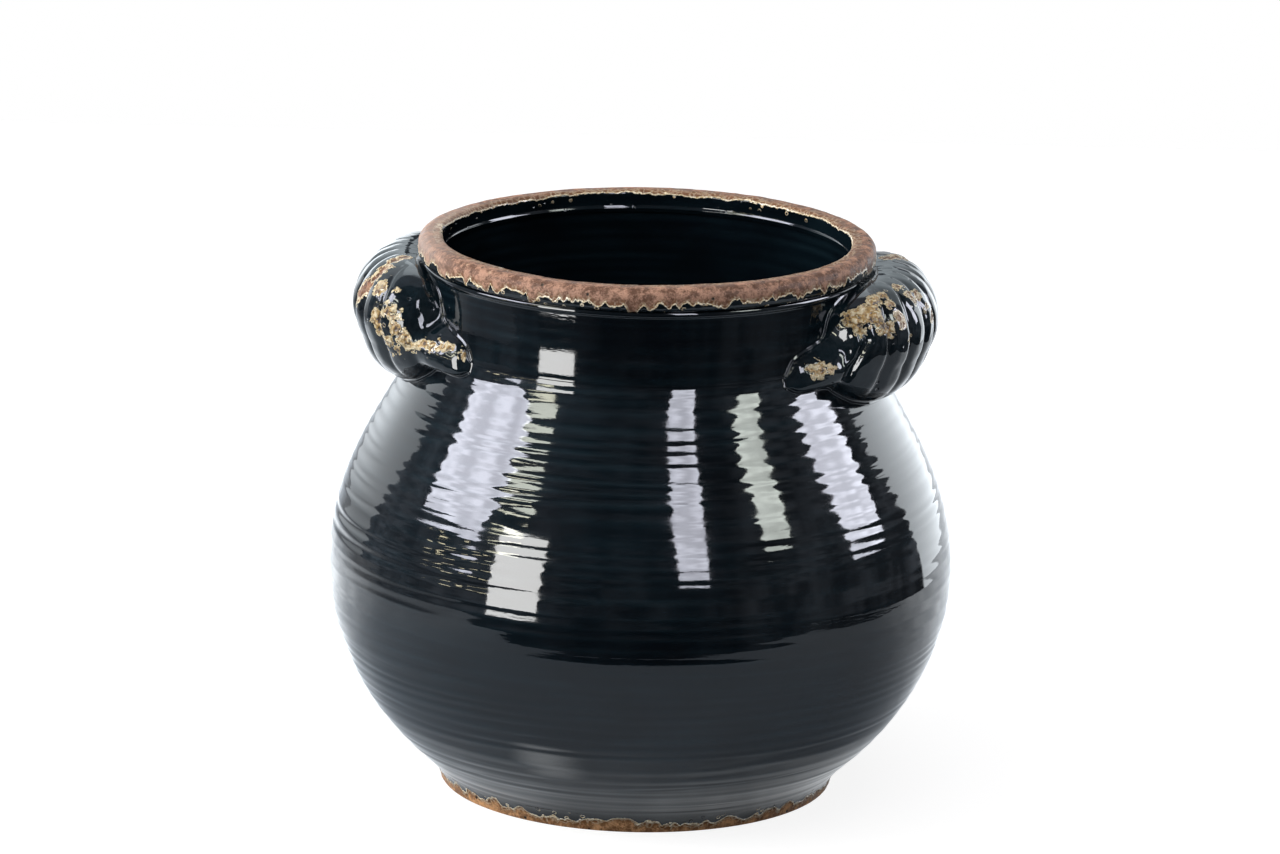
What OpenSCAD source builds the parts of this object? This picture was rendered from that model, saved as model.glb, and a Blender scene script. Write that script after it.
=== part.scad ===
// Bellied stoneware planter with a rolled lip and a pair of fluted shell handles.
// Millimetres. Z is up, the ground is at zero, and the handles lie along X.

/* [Body] */
// Height from the ground to the top of the lip
pot_h = 241.5; // [225:0.5:290]
// Widest outer diameter of the belly
belly_d = 270; // [250:1:320]
// Height of the widest part above the ground
belly_z = 97; // [85:1:115]
// Thickness of the thrown wall
wall = 7; // [6:0.5:9]
// Thickness of the floor
floor_t = 9; // [7:0.5:14]

/* [Foot] */
// Outer diameter of the foot ring where it stands
foot_d = 171; // [150:1:190]
// Height of the foot ring
foot_h = 9; // [7:0.5:14]
// Radial width of the foot ring
foot_w = 11; // [9:0.5:16]
// How much wider the foot ring is at its top, on the radius
foot_flare = 0.6; // [0:0.1:2]

/* [Neck and lip] */
// Outer diameter of the neck
neck_d = 192; // [190:1:204]
// Straight height of the neck, from the shoulder to the lip
neck_h = 32; // [28:1:44]
// Diameter of the mouth, inside the lip
mouth_d = 175.6; // [168:0.2:180]
// Height of the rolled lip
lip_h = 10.4; // [8:0.2:14]
// How far the lip stands out beyond the neck
lip_overhang = 2.4; // [1:0.1:5]
// Height of the thin bead under the lip
bead_h = 2.6; // [1.5:0.1:4]
// How far the bead stands out beyond the neck
bead_out = 0.8; // [0.4:0.1:1.6]

/* [Throwing rings] */
// Height of one throwing ring
ring_pitch = 5.6; // [4:0.1:9]
// Depth of the groove between two rings
ring_depth = 0.5; // [0.2:0.05:1]

/* [Handles] */
// How far the shell stands out beyond the neck
shell_reach = 30; // [20:0.5:36]
// Height of the shell, from just under the lip
shell_h = 51; // [42:0.5:56]
// How far the shell's brow rises in its curve, above a plain arch
brow = 3.6; // [0:0.1:5]
// Number of flutes on the shell
flutes = 7; // [5:1:9]
// Depth of the groove between two flutes
flute_depth = 2.6; // [1:0.1:3.5]
// Angle round the pot from the middle of the handle to the tip of a scroll
tip_angle = 46; // [42:0.5:52]
// How far a scroll's tail stands out beyond the wall behind it
tail_reach = 11; // [7:0.5:14]
// Height of a scroll's tail
tail_h = 15; // [11:0.5:20]
// Height of the tail's lower edge above the shell's lower edge
tail_lift = 13; // [9:0.5:17]

/* [Joints] */
// Thickness of the slip between two pieces that are luted together
slip = 0.2; // [0.1:0.05:0.4]
// Width of the tongue that registers one ring on the next
tongue_w = 2.4; // [1.6:0.1:3]
// Height of that tongue
tongue_h = 2; // [1:0.1:3]

/* [Hidden] */
$fn = 96;

glaze = "#14242e";
clay = "#8a6a55";

belly_r = belly_d / 2;
neck_r = neck_d / 2;
mouth_r = mouth_d / 2;
foot_r = foot_d / 2;
foot_top_r = foot_r + foot_flare;
lip_z = pot_h - lip_h;
neck_z = lip_z - neck_h;
floor_z = foot_h + floor_t;
// How full the belly is below and above its widest part: 1 is a parabola
lower_fullness = 0.84;
upper_fullness = 1.4;
// Share of the wall by which the floor's corner lies inside the foot ring
floor_corner_share = 0.2;
floor_r = foot_top_r - wall * floor_corner_share;
// Points of the outline in one throwing ring
ring_steps = 6;
// Rings swell and fade over this many of their pitches, by this share of their depth
swell_pitches = 4.3;
swell_share = 0.35;
inner_steps = 24;
arc_steps = 6;
bead_steps = 8;

// The lip's cross-section: the roundings of its four corners
lip_top_out = 4.6;
lip_low_out = 3;
lip_top_in = 2.2;
lip_low_in = 1.4;
// Rounding of the foot ring's two lower edges
foot_round = 1.4;

// Clear height that a handle keeps under the lip
lip_clear = 0.3;
// Thickness of a handle along its edge
edge_t = 0.6;
// Height of the widest part of the shell, as a share of its own height
shell_mid_share = 0.6;
// Height of the tail's ridge, as a share of its own height
tail_mid_share = 0.42;
// The shell narrows to this share at its hinge under the lip, over this share of its height
hinge_share = 0.7;
fan_height_share = 0.34;
// How abruptly it narrows there
fan_power = 4;
// Bluntness of the edge of a groove between two flutes
groove_power = 1.5;
// How fast the last groove fades into the scroll
fade_power = 3;
flute_steps = 6;
section_steps = 18;
scroll_steps = 22;

// Stations from the middle of a handle, at 0, to the tip of its scroll, at 1
station_shares = [0, 0.35, 0.52, 0.6, 0.66, 0.7, 0.78, 0.88, 0.95, 1];
// The fluted shell ends at this station and the scroll begins
shell_end_share = 0.525;
// Upper edge at each station: 1 is the shell's and 0 the tail's
top_shares = [1, 1, 0.99, 0.92, 0.7, 0.27, 0.11, 0.01, -0.11, -0.38];
// Height of the ridge at each station: 1 is the shell's and 0 the tail's
ridge_shares = [1, 1, 0.95, 0.8, 0.55, 0.35, 0.1, 0, -0.1, -0.25];
// Lower edge at each station: 1 is the shell's and 0 the tail's
low_shares = [1, 0.93, 0.7, 0.48, 0.26, 0.07, 0, 0, -0.04, -0.2];
// Reach at each station: 1 is the shell's and 0 the tail's
reach_shares = [1, 0.93, 0.74, 0.56, 0.33, 0.15, 0, -0.18, -0.34, -0.52];
// Power of the section above the ridge: under 1 it is full, over 1 it is scooped out
upper_powers = [0.73, 0.73, 0.73, 0.85, 1.3, 2.2, 2.4, 1.8, 1.3, 1];
// Power of the section below the ridge
lower_powers = [1.4, 1.4, 1.4, 1.35, 1.2, 1.1, 1, 0.9, 0.9, 1];

shell_top_z = lip_z - lip_clear;
shell_low_z = shell_top_z - shell_h;
shell_mid_z = shell_low_z + shell_h * shell_mid_share;
tail_low_z = shell_low_z + tail_lift;
tail_top_z = tail_low_z + tail_h;
tail_mid_z = tail_low_z + tail_h * tail_mid_share;
// Angle that the slip takes up between a shell and its scroll
slip_angle = 2 * asin(slip / (2 * neck_r));

// Outer radius of the pot at height z, over the crests of the rings
function envelope_r(z) =
    z < belly_z
    ? foot_top_r + (belly_r - foot_top_r)
      * pow(max(0, 1 - pow((belly_z - z) / (belly_z - foot_h), 2)), lower_fullness)
    : z < neck_z
    ? neck_r + (belly_r - neck_r)
      * pow(max(0, 1 - pow((z - belly_z) / (neck_z - belly_z), 2)), upper_fullness)
    : neck_r;

// Depth of the throwing rings below the crests at height z
function ring_cut(z) =
    ring_depth * (1 - cos(360 * z / ring_pitch)) / 2
    * (1 - swell_share * (1 + sin(360 * z / (ring_pitch * swell_pitches))) / 2);

// How far the bead under the lip stands out at height z
function bead_r(z) =
    bead_out * sqrt(max(0, 1 - pow((z - lip_z) / (bead_h / 2) + 1, 2)));

// Inner radius of the belly at height z
function inner_r(z) =
    z < belly_z
    ? floor_r + (belly_r - wall - floor_r)
      * pow(max(0, 1 - pow((belly_z - z) / (belly_z - floor_z), 2)), lower_fullness)
    : envelope_r(z) - wall;

// Outline of the ringed outer face between two heights
function ringed_outline(z0, z1) =
    let (n = max(2, round((z1 - z0) / ring_pitch * ring_steps)))
    [for (i = [0 : n])
        let (z = z0 + (z1 - z0) * i / n)
        [envelope_r(z) - (i == 0 || i == n ? 0 : ring_cut(z)), z]];

function arc(x, y, r, from, to) =
    [for (i = [0 : arc_steps])
        let (a = from + (to - from) * i / arc_steps)
        [x + r * cos(a), y + r * sin(a)]];

// Rectangular ring: its mean radius, width, foot and height
module ring(mid_r, width, z, height) {
    translate([0, 0, z])
        rotate_extrude()
            translate([mid_r - width / 2, 0])
                square([width, height]);
}

// Tongue that stands on a ring, and the groove above it that takes the tongue
module tongue(mid_r, z) {
    ring(mid_r, tongue_w, z - slip, tongue_h + slip);
}

module groove(mid_r, z) {
    ring(mid_r, tongue_w + 2 * slip, z - slip, tongue_h + 2 * slip);
}

foot_joint_r = foot_top_r - foot_w / 2;
neck_joint_r = neck_r - wall / 2;

module pot_body() {
    color(glaze) union() {
        difference() {
            rotate_extrude()
                polygon(concat(
                    [[0, foot_h]],
                    ringed_outline(foot_h, neck_z),
                    [for (i = [inner_steps : -1 : 0])
                        let (z = floor_z + (neck_z - floor_z) * i / inner_steps)
                        [inner_r(z), z]],
                    [[0, floor_z]]
                ));
            groove(foot_joint_r, foot_h);
        }
        tongue(neck_joint_r, neck_z);
    }
}

module neck_collar() {
    color(glaze) union() {
        difference() {
            rotate_extrude()
                polygon(concat(
                    ringed_outline(neck_z, lip_z - bead_h),
                    [for (i = [1 : bead_steps])
                        let (z = lip_z - bead_h * (1 + cos(180 * i / bead_steps)) / 2)
                        [neck_r + bead_r(z), z]],
                    [[neck_r - wall, lip_z], [neck_r - wall, neck_z]]
                ));
            groove(neck_joint_r, neck_z);
        }
        tongue(neck_joint_r, lip_z);
    }
}

module rim_lip() {
    out_r = neck_r + lip_overhang;
    color(clay) difference() {
        rotate_extrude()
            polygon(concat(
                arc(mouth_r + lip_low_in, lip_z + lip_low_in, lip_low_in, 180, 270),
                arc(out_r - lip_low_out, lip_z + lip_low_out, lip_low_out, 270, 360),
                arc(out_r - lip_top_out, pot_h - lip_top_out, lip_top_out, 0, 90),
                arc(mouth_r + lip_top_in, pot_h - lip_top_in, lip_top_in, 90, 180)
            ));
        groove(neck_joint_r, lip_z);
    }
}

module foot_ring() {
    in_r = foot_r - foot_w;
    color(clay) union() {
        rotate_extrude()
            polygon(concat(
                arc(in_r + foot_round, foot_round, foot_round, 180, 270),
                arc(foot_r - foot_round, foot_round, foot_round, 270, 360),
                [[foot_top_r, foot_h], [in_r, foot_h]]
            ));
        tongue(foot_joint_r, foot_h);
    }
}

// Slope of a table at one of its stations
function slope(values, i) =
    let (last = len(values) - 1)
    i == 0 ? 0
    : i == last
    ? (values[i] - values[i - 1]) / (station_shares[i] - station_shares[i - 1])
    : (values[i + 1] - values[i - 1]) / (station_shares[i + 1] - station_shares[i - 1]);

// Smooth curve through a table, read at a share along the handle
function at(share, values) =
    let (
        i = max([for (k = [0 : len(values) - 2]) if (station_shares[k] <= share) k]),
        step = station_shares[i + 1] - station_shares[i],
        u = (share - station_shares[i]) / step
    )
    values[i] * (1 + 2 * u) * pow(1 - u, 2)
    + slope(values, i) * step * u * pow(1 - u, 2)
    + values[i + 1] * u * u * (3 - 2 * u)
    - slope(values, i + 1) * step * u * u * (1 - u);

function between(low, high, share) = low + (high - low) * share;

// How far the fan has opened at height z: 1 below, hinge_share at the lip
function fan(z) =
    let (up = 1 - (shell_top_z - z) / (shell_h * fan_height_share))
    1 - (1 - hinge_share) * pow(max(0, up), fan_power);

// Depth of the flutes at a share along the handle, with half a groove fading into the scroll
function flute_cut(share) =
    share < shell_end_share
    ? flute_depth
      * pow(1 - abs(sin(90 * flutes * (share / shell_end_share + 1))), groove_power)
    : flute_depth
      * pow(max(0, 1 - (share - shell_end_share) / (1 - shell_end_share) * flutes),
            fade_power);

function polar(r, angle, z) = [r * cos(angle), r * sin(angle), z];

// Radius of the wall that a handle is luted to: the crests of the rings, and the bead
function wall_r(z) = envelope_r(z) + bead_r(z);

// A point of a handle, as [angle round the pot, height on the wall, thickness, rise of the brow].
// share runs from the middle of the handle to the tip of its scroll, and a from 90 at the
// upper edge, through 0 on the ridge, to -90 at the lower edge
function place(share, a) =
    let (
        s = abs(share),
        top = between(tail_top_z, shell_top_z, at(s, top_shares)),
        ridge = between(tail_mid_z, shell_mid_z, at(s, ridge_shares)),
        low = between(tail_low_z, shell_low_z, at(s, low_shares)),
        full_reach = between(tail_reach, shell_reach, at(s, reach_shares)),
        reach = full_reach - flute_cut(s),
        power = at(s, a > 0 ? upper_powers : lower_powers),
        z = ridge + (a > 0 ? top - ridge : ridge - low) * sin(a),
        t = edge_t + max(0, reach - edge_t) * pow(max(0, cos(a)), power),
        arch = a > 0 ? pow(sin(a), 2) * sqrt(max(0, cos(a))) : 0
    )
    [share * tip_angle * fan(z), z, t, brow * arch * full_reach / shell_reach];

function outer_point(p) = polar(wall_r(p[1]) + slip + p[2], p[0], p[1] + p[3]);

function wall_point(p) = polar(wall_r(p[1]) + slip, p[0], p[1]);

// Closed solid between a grid of a handle's places and the wall of the pot behind them
module on_the_wall(grid) {
    columns = len(grid);
    rows = len(grid[0]);
    count = columns * rows;
    places = [for (column = grid) each column];
    face = [for (p = places) outer_point(p)];
    back = [for (p = places) wall_point(p)];
    function id(i, j) = i * rows + j;
    function quad(a, b, c, d) = [[a, b, c], [a, c, d]];
    // Strip of quads between a row of points and the wall behind it
    function rim(ids) =
        [for (k = [0 : len(ids) - 2])
            each quad(ids[k], ids[k + 1], count + ids[k + 1], count + ids[k])];
    polyhedron(
        points = concat(face, back),
        faces = concat(
            [for (i = [0 : columns - 2], j = [0 : rows - 2])
                each quad(id(i, j), id(i + 1, j), id(i + 1, j + 1), id(i, j + 1))],
            [for (i = [0 : columns - 2], j = [0 : rows - 2])
                each quad(count + id(i, j), count + id(i, j + 1),
                          count + id(i + 1, j + 1), count + id(i + 1, j))],
            rim([for (j = [0 : rows - 1]) id(0, j)]),
            rim([for (j = [rows - 1 : -1 : 0]) id(columns - 1, j)]),
            rim([for (i = [columns - 1 : -1 : 0]) id(i, 0)]),
            rim([for (i = [0 : columns - 1]) id(i, rows - 1)])
        )
    );
}

function section(share, apart) =
    [for (j = [0 : section_steps])
        place(share, 90 - 180 * j / section_steps) + [apart, 0, 0, 0]];

module handle_shell() {
    columns = flutes * flute_steps;
    color(glaze) on_the_wall(
        [for (i = [0 : columns]) section(shell_end_share * (2 * i / columns - 1), 0)]
    );
}

// The scroll on the side of the shell that is turned anticlockwise, seen from above
module handle_scroll() {
    color(glaze) on_the_wall(
        [for (i = [0 : scroll_steps])
            section(between(shell_end_share, 1, i / scroll_steps), slip_angle)]
    );
}

module right_handle_shell() handle_shell();
module right_rear_scroll() handle_scroll();
module right_front_scroll() mirror([0, 1, 0]) handle_scroll();
module left_handle_shell() rotate([0, 0, 180]) handle_shell();
module left_front_scroll() rotate([0, 0, 180]) handle_scroll();
module left_rear_scroll() mirror([1, 0, 0]) handle_scroll();

pot_body();
neck_collar();
rim_lip();
foot_ring();
right_handle_shell();
right_front_scroll();
right_rear_scroll();
left_handle_shell();
left_front_scroll();
left_rear_scroll();
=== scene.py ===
"""A bellied stoneware planter: thrown rings, a worn rolled lip, and two fluted shell handles."""

import math

import bpy
import numpy as np
from mathutils import Matrix, Vector


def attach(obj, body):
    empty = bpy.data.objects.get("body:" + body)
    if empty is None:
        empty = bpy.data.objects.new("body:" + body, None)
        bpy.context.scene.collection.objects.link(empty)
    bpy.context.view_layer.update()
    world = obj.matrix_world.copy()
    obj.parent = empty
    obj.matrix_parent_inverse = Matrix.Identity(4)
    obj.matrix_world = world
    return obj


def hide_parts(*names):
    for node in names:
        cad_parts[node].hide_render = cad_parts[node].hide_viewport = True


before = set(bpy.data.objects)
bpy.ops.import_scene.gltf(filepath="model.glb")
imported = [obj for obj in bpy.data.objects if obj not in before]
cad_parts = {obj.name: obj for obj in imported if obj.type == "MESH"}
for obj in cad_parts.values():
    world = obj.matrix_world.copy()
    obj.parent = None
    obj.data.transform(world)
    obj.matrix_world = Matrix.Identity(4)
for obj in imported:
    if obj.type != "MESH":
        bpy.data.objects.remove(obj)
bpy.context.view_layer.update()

MM = 0.001

# Sizes of the pot in millimetres
POT_H = 241.5
BELLY_R = 135.0
BELLY_Z = 97.0
WALL = 7.0
FOOT_R = 85.5
FOOT_TOP_R = 86.1
FOOT_H = 9.0
FOOT_W = 11.0
FLOOR_Z = 18.0
FLOOR_R = 84.7
NECK_R = 96.0
NECK_Z = 199.1
LIP_Z = 231.1
MOUTH_R = 87.8
LIP_R = 98.4
BEAD_H = 2.6
BEAD_OUT = 0.8
LOWER_FULLNESS = 0.84
UPPER_FULLNESS = 1.4

# Pooled glaze rounds the wall off into the foot: heights, and how far it stands out there
COVE_LOW_Z = 4.0
COVE_MID_Z = 7.6
COVE_TOP_Z = 18.0
COVE_LOW_OUT = 0.7
COVE_MID_OUT = 1.3
GLAZED_FOOT_Z = 8.0
FOOT_ROUND = 1.4

# The neck draws in by the waist, over this much height, and opens by the flare in each mm
WAIST = 0.3
WAIST_Z = 214.0
WAIST_REACH = 8.0
WAIST_FLARE = 0.03

# How hard the thrower's fingers pressed at some heights. Their rings grow faint on the upper
# neck, and fine rings from trimming the foot fade out below the belly
RING_HEIGHTS = [9, 60, 76, 84, 97, 108, 118, 128, 199]
RING_STRENGTHS = [1.2, 1.2, 1.0, 0.54, 0.6, 0.55, 0.3, 0.78, 0.78]
FAINT_LOW_Z = 210.0
FAINT_TOP_Z = 217.0
FAINT_SHARE = 0.3
TRIMMED_TOP_Z = 32.0
TRIMMED_FADE_Z = 20.0

# The handle: a fluted shell whose two ends run out into scrolls
SHELL_REACH = 30.0
SHELL_H = 51.0
BROW = 3.6
FLUTES = 7
FLUTE_DEPTH = 2.6
TIP_ANGLE = 46.0
TAIL_REACH = 11.0
TAIL_H = 15.0
TAIL_LIFT = 13.0
EDGE_T = 0.6
SHELL_END = 0.525
LIP_CLEARANCE = 0.3
SHELL_RIDGE_SHARE = 0.6
TAIL_RIDGE_SHARE = 0.42
SHELL_TOP_Z = LIP_Z - LIP_CLEARANCE
SHELL_LOW_Z = SHELL_TOP_Z - SHELL_H
SHELL_MID_Z = SHELL_LOW_Z + SHELL_H * SHELL_RIDGE_SHARE
TAIL_LOW_Z = SHELL_LOW_Z + TAIL_LIFT
TAIL_TOP_Z = TAIL_LOW_Z + TAIL_H
TAIL_MID_Z = TAIL_LOW_Z + TAIL_H * TAIL_RIDGE_SHARE
HINGE_SHARE = 0.7
FAN_HEIGHT_SHARE = 0.34
# Stations along half a handle, and what each curve of its section is there
STATIONS = [0, 0.35, 0.52, 0.6, 0.66, 0.7, 0.78, 0.88, 0.95, 1]
TOP_SHARES = [1, 1, 0.99, 0.92, 0.7, 0.27, 0.11, 0.01, -0.11, -0.38]
RIDGE_SHARES = [1, 1, 0.95, 0.8, 0.55, 0.35, 0.1, 0, -0.1, -0.25]
LOW_SHARES = [1, 0.93, 0.7, 0.48, 0.26, 0.07, 0, 0, -0.04, -0.2]
REACH_SHARES = [1, 0.93, 0.74, 0.56, 0.33, 0.15, 0, -0.18, -0.34, -0.52]
UPPER_POWERS = [0.73, 0.73, 0.73, 0.85, 1.3, 2.2, 2.4, 1.8, 1.3, 1]
LOWER_POWERS = [1.4, 1.4, 1.4, 1.35, 1.2, 1.1, 1, 0.9, 0.9, 1]
HANDLE_COLUMNS = 301
HANDLE_ROWS = 97
# The fillet of glaze round a handle: distances from its edge, and heights over the wall
FILLET = ((0.5, 0.36), (1.1, 0.1), (1.8, -0.35))
BURIED = 0.35

# Where the glaze has worn through to the clay, on the half of each handle that faces the
# viewer: share along the handle, turn round its section in degrees, and radius in mm
LEFT_WORN = [
    (0.34, 81, 2.6), (0.37, 68, 3.4), (0.39, 56, 3.9), (0.38, 44, 4.3), (0.35, 31, 4.2),
    (0.31, 20, 3.9), (0.28, 11, 3.2), (0.495, 42, 2.4), (0.48, 34, 2.2),
    (0.59, 43, 0.6), (0.57, 27, 0.8),
    (0.585, 20, 2.6), (0.61, 17, 2.6), (0.63, 8, 2.6), (0.66, 4, 2.4), (0.685, -3, 2.2),
    (0.515, 3, 3.2), (0.54, -7, 2.8), (0.59, -18, 2.8), (0.62, -25, 2.2),
    (0.71, 2, 1.6), (0.735, 8, 1.5), (0.76, 17, 1.4), (0.8, 21, 1.6), (0.83, 26, 1.4),
    (0.87, 33, 1.3), (0.905, 40, 1.1), (0.97, 50, 2.0), (0.99, 62, 1.0),
]
RIGHT_WORN = [
    (0.56, 57, 3.4), (0.585, 50, 3.6), (0.62, 51, 4.2), (0.655, 54, 3.4), (0.64, 42, 3.6),
    (0.645, 32, 2.2), (0.58, 36, 3.4), (0.545, 26, 3.2), (0.525, 19, 2.4), (0.60, 40, 3.2),
    (0.5, 59, 2.2), (0.485, 47, 1.6), (0.46, 30, 2.2), (0.45, 22, 1.8), (0.40, 4, 1.4),
    (0.33, 62, 1.6), (0.3, 50, 1.8), (0.29, 40, 1.4), (0.2, 40, 1.8), (0.17, 25, 2.0),
    (0.15, 14, 1.6), (0.86, 22, 1.8), (0.83, 17, 1.6), (0.80, 12, 1.4), (0.90, 27, 1.2),
]

# Hollows pressed into each handle: lines of (share, turn), then depth and half width in mm. The
# left one has a low swelling, of a depth below nought, and a crease at the foot of its cheek.
# The right one has a crease between the shell and its tail, and a bowl above the tail
LEFT_HOLLOWS = [
    ([(0.645, 66), (0.655, 48)], -0.7, 3.0),
    ([(0.70, 84), (0.71, 62), (0.715, 44)], 0.9, 2.6),
]
RIGHT_HOLLOWS = [
    ([(0.64, 32), (0.635, 19), (0.67, 6), (0.69, -14), (0.695, -34)], 2.2, 1.8),
    ([(0.70, 22), (0.72, 10)], 1.3, 3.0),
]

# Distance in mm inside the bare clay: what stands for far outside it, and for well inside.
# The clay lies lower there by its drop, and the edge of the glaze stands up in a roll
GLAZED = -8.0
BARE = 4.0
CLAY_DROP = 0.14
GLAZE_ROLL = 0.12

# Numbers that scramble the cells of the random field
SCRAMBLE = (73856093, 19349663, 83492791, 5915587277)
SCRAMBLE_AGAIN = 1274126177
LOW_32_BITS = 0xFFFFFFFF
LOW_16_BITS = 0xFFFF
SEED_SHIFT = 31.7
FINER_SHARE = 0.55


def between(low, high, share):
    return low + (high - low) * share


def smooth_step(low, high, value):
    u = np.clip((value - low) / (high - low), 0, 1)
    return u * u * (3 - 2 * u)


def scrambled(cell, seed):
    """A number from 0 to 65535 for each cell, in no order."""
    x, y, z = np.moveaxis(cell, -1, 0)
    a, b, c, d = SCRAMBLE
    h = (x * a ^ y * b ^ z * c ^ seed * d) & LOW_32_BITS
    h = (h ^ h >> 13) * SCRAMBLE_AGAIN & LOW_32_BITS
    return (h ^ h >> 16) & LOW_16_BITS


def lumps(points, width, seed, layers=3):
    """Smooth random field from about -1 to 1 at points in mm, with lumps about width mm wide."""
    total = np.zeros(points.shape[:-1])
    weight = 0.0
    for layer in range(layers):
        p = points / (width / 2**layer) + SEED_SHIFT * (seed + layer)
        cell = np.floor(p).astype(np.int64)
        u = p - cell
        u = u * u * u * (u * (6 * u - 15) + 10)
        value = 0.0
        for corner in range(8):
            step = np.array([corner & 1, corner >> 1 & 1, corner >> 2 & 1])
            height = scrambled(cell + step, seed + layer) / (LOW_16_BITS / 2) - 1
            share = np.prod(np.where(step == 1, u, 1 - u), axis=-1)
            value = value + share * height
        total += value * FINER_SHARE**layer
        weight += FINER_SHARE**layer
    return total / weight * 1.6


def wall_r(z):
    """Outer radius of the thrown wall at height z, over the crests of its rings."""
    z = np.asarray(z, float)
    low = 1 - ((BELLY_Z - z) / (BELLY_Z - FOOT_H)) ** 2
    high = 1 - ((z - BELLY_Z) / (NECK_Z - BELLY_Z)) ** 2
    below = FOOT_TOP_R + (BELLY_R - FOOT_TOP_R) * np.clip(low, 0, 1) ** LOWER_FULLNESS
    above = NECK_R + (BELLY_R - NECK_R) * np.clip(high, 0, 1) ** UPPER_FULLNESS
    return np.where(z < BELLY_Z, below, np.where(z < NECK_Z, above, NECK_R))


def coved_r(z):
    """Radius of the wall where pooled glaze rounds it off into the foot, from z 4 to z 18."""
    z = np.asarray(z, float)
    rise = 2 * (COVE_MID_Z - COVE_LOW_Z)
    first = COVE_TOP_Z - 2 * COVE_MID_Z + COVE_LOW_Z
    u = (np.sqrt(rise**2 + 4 * first * np.clip(z - COVE_LOW_Z, 0, None)) - rise) / (2 * first)
    low_r, mid_r, top_r = FOOT_R + COVE_LOW_OUT, FOOT_R + COVE_MID_OUT, wall_r(COVE_TOP_Z)
    coved = (1 - u) ** 2 * low_r + 2 * u * (1 - u) * mid_r + u**2 * top_r
    return np.where(z < COVE_TOP_Z, coved, wall_r(z))


def waist(z):
    """How far the neck stands out: it draws in half way up and opens again towards the lip."""
    below = -WAIST * np.exp(-(((z - WAIST_Z) / WAIST_REACH) ** 2))
    return np.where(z < WAIST_Z, below, (z - WAIST_Z) * WAIST_FLARE - WAIST)


def inside_r(z):
    """Inner radius of the belly and shoulder at height z."""
    low = 1 - ((BELLY_Z - z) / (BELLY_Z - FLOOR_Z)) ** 2
    below = FLOOR_R + (BELLY_R - WALL - FLOOR_R) * np.clip(low, 0, 1) ** LOWER_FULLNESS
    return np.where(z < BELLY_Z, below, wall_r(z) - WALL)


def curve(share, values):
    """Smooth curve through one value for each station of the handle."""
    s = np.asarray(STATIONS, float)
    v = np.asarray(values, float)
    m = np.zeros(len(v))
    m[1:-1] = (v[2:] - v[:-2]) / (s[2:] - s[:-2])
    m[-1] = (v[-1] - v[-2]) / (s[-1] - s[-2])
    i = np.clip(np.searchsorted(s, share, side="right") - 1, 0, len(s) - 2)
    step = s[i + 1] - s[i]
    u = (share - s[i]) / step
    return (
        v[i] * (1 + 2 * u) * (1 - u) ** 2 + m[i] * step * u * (1 - u) ** 2
        + v[i + 1] * u * u * (3 - 2 * u) - m[i + 1] * step * u * u * (1 - u)
    )


def handle_face(share, turn):
    """Angle round the pot, height, thickness, rise of the brow and crest of the flute, where
    turn runs from 90 at the upper edge, through 0 on the ridge, to -90 at the lower edge."""
    s, a = np.abs(share), np.radians(turn)
    top = between(TAIL_TOP_Z, SHELL_TOP_Z, curve(s, TOP_SHARES))
    ridge = between(TAIL_MID_Z, SHELL_MID_Z, curve(s, RIDGE_SHARES))
    low = between(TAIL_LOW_Z, SHELL_LOW_Z, curve(s, LOW_SHARES))
    full_reach = between(TAIL_REACH, SHELL_REACH, curve(s, REACH_SHARES))
    flute = 1 - np.abs(np.sin(np.radians(90 * FLUTES * (s / SHELL_END + 1))))
    fade = np.clip(1 - (s - SHELL_END) / (1 - SHELL_END) * FLUTES, 0, 1)
    groove = np.where(s < SHELL_END, flute**1.5, fade**3)
    reach = full_reach - FLUTE_DEPTH * groove
    power = np.where(a > 0, curve(s, UPPER_POWERS), curve(s, LOWER_POWERS))
    z = ridge + np.where(a > 0, top - ridge, ridge - low) * np.sin(a)
    cosine = np.clip(np.cos(a), 0, 1)
    t = EDGE_T + np.clip(reach - EDGE_T, 0, None) * cosine**power
    arch = np.where(a > 0, np.sin(a) ** 2 * np.sqrt(cosine), 0)
    up = np.clip(1 - (SHELL_TOP_Z - z) / (SHELL_H * FAN_HEIGHT_SHARE), 0, 1)
    fan = 1 - (1 - HINGE_SHARE) * up**4
    angle = np.radians(share * TIP_ANGLE * fan)
    rise = BROW * arch * full_reach / SHELL_REACH
    return angle, z, t, rise, 1 - groove


def polar(r, angle, z):
    return np.stack(np.broadcast_arrays(r * np.cos(angle), r * np.sin(angle), z), -1)


def pairs(first, second):
    return np.stack(np.broadcast_arrays(first, second), 1)


def turned(rows, around):
    """Rows of (radius, height) turned round the pot's axis, as a grid of points."""
    angle = np.linspace(0, 2 * np.pi, around, endpoint=False)
    return polar(rows[:, :1], angle[None, :], rows[:, 1:])


def put_in_scene(name, data):
    obj = bpy.data.objects.new(name, data)
    bpy.context.scene.collection.objects.link(obj)
    return obj


def piece(name, points, faces, **fields):
    """A mesh of points in mm, with one number for each point in every named field."""
    mesh = bpy.data.meshes.new(name)
    mesh.from_pydata((np.asarray(points).reshape(-1, 3) * MM).tolist(), [], faces)
    for field, values in fields.items():
        numbers = np.asarray(values, np.float32).ravel()
        mesh.attributes.new(field, "FLOAT", "POINT").data.foreach_set("value", numbers)
    mesh.validate()
    mesh.shade_smooth()
    return put_in_scene(name, mesh)


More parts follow.
